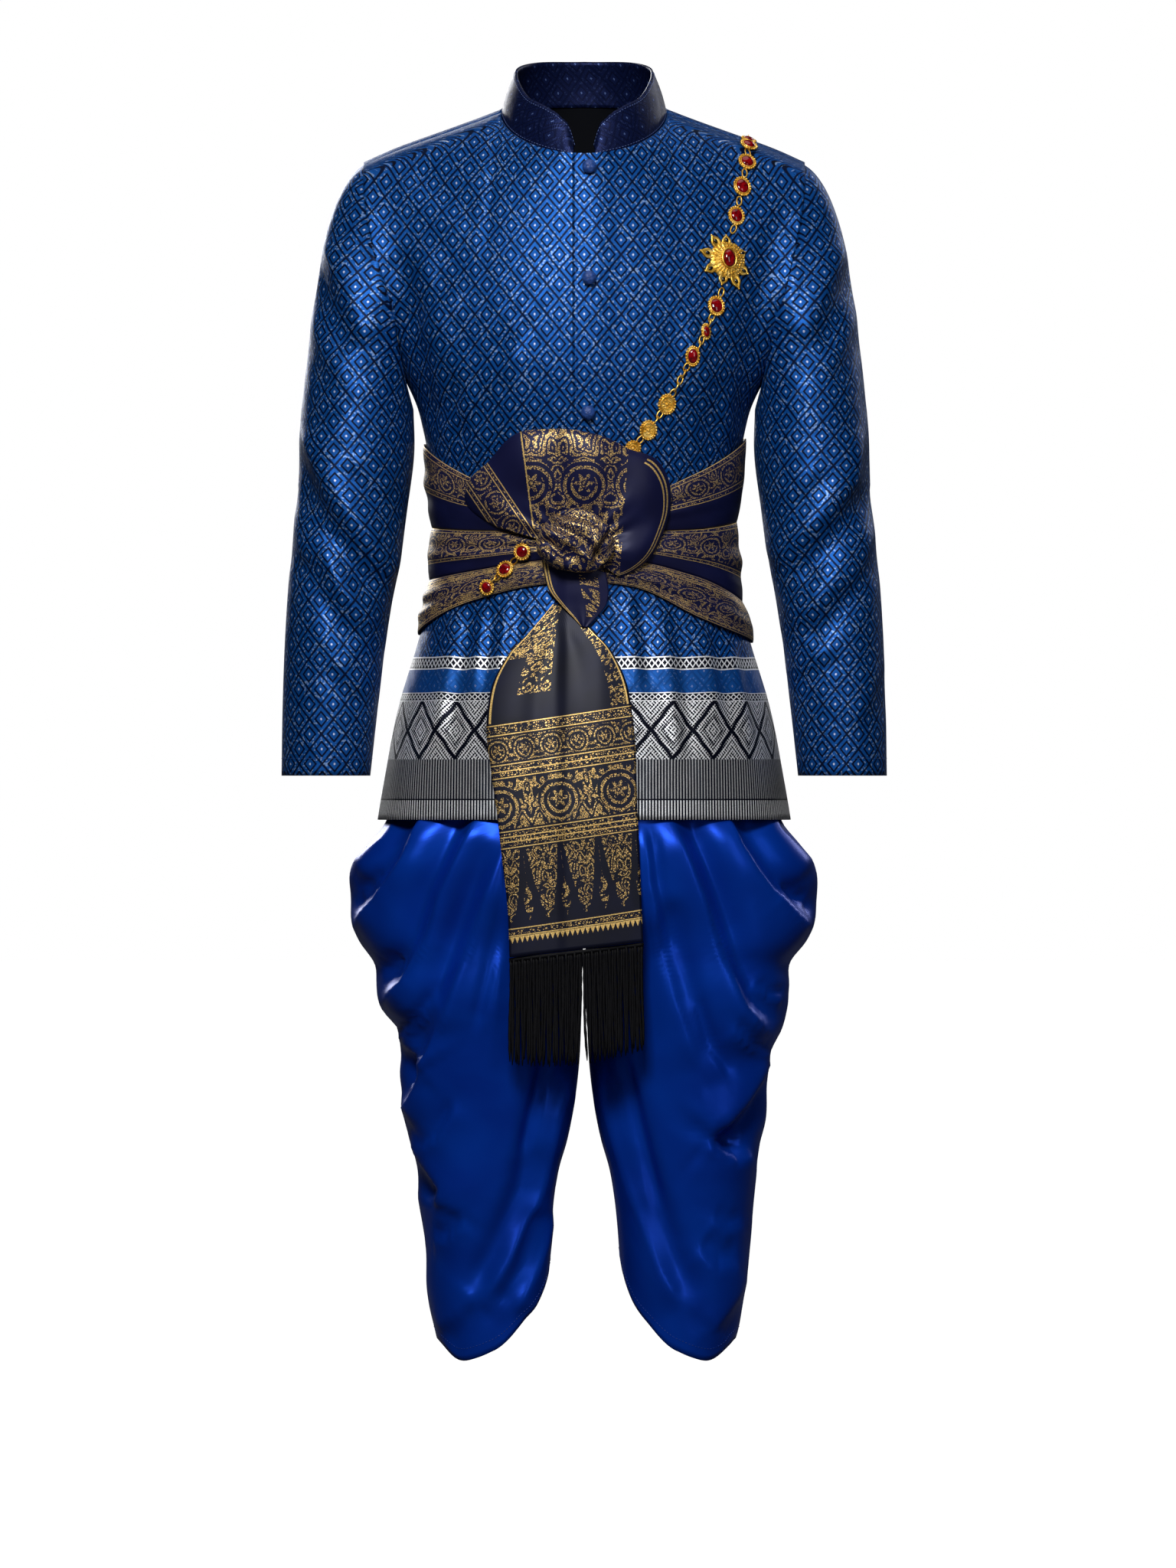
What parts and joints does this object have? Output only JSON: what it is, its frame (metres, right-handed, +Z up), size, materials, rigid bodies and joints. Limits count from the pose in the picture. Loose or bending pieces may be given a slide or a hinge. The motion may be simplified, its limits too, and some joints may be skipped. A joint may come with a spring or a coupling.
{
  "type": "worn thai formal outfit of jacket, wrapped trousers, sash and gold chain",
  "caption": "Hollow worn Thai formal outfit: stand-collar brocade jacket, draped satin trousers, knotted fringed sash and jewelled chain.",
  "frame": {"origin": "middle of the neck, level with the tops of the shoulder seams", "axes": "+Z up along the body, -Y the way the wearer faces, +X towards the wearer's left"},
  "size_m": [0.62, 0.3146, 1.3321],
  "materials": {
    "jacquard_silk": "blue and navy jacquard with silver metallic thread",
    "collar_silk": "dark navy jacquard with small pale dots",
    "trouser_satin": "royal blue satin",
    "sash_satin": "navy satin",
    "sash_brocade": "gold brocade on navy",
    "fringe_yarn": "black yarn",
    "gold_plate": "gold plated, polished",
    "ruby_glass": "dark red cut glass"
  },
  "bodies": {
    "root": {"jacket_back": "jacquard_silk", "jacket_front_left": "jacquard_silk", "jacket_front_right": "jacquard_silk", "jacket_sleeve_left": "jacquard_silk", "jacket_sleeve_right": "jacquard_silk", "jacket_collar": "collar_silk", "button_1": "collar_silk", "button_2": "collar_silk", "button_3": "collar_silk", "trousers_left_leg": "trouser_satin", "trousers_right_leg": "trouser_satin", "trousers_waistband": "trouser_satin", "sash_wrap_upper": "sash_brocade", "sash_wrap_middle": "sash_brocade", "sash_wrap_lower": "sash_brocade", "sash_loop": "sash_brocade", "sash_knot": "sash_brocade", "sash_flap": "sash_satin", "sash_tail": "sash_brocade", "sash_fringe": "fringe_yarn", "chain_front_upper": "gold_plate", "chain_front_middle": "gold_plate", "chain_front_lower": "gold_plate", "chain_brooch": "gold_plate", "chain_back": "gold_plate", "gem_01": "ruby_glass", "gem_02": "ruby_glass", "gem_03": "ruby_glass", "gem_04": "ruby_glass", "gem_05": "ruby_glass", "gem_06": "ruby_glass", "gem_07": "ruby_glass", "gem_08": "ruby_glass", "gem_09": "ruby_glass", "gem_10": "ruby_glass", "gem_11": "ruby_glass"}
  },
  "joints": []
}
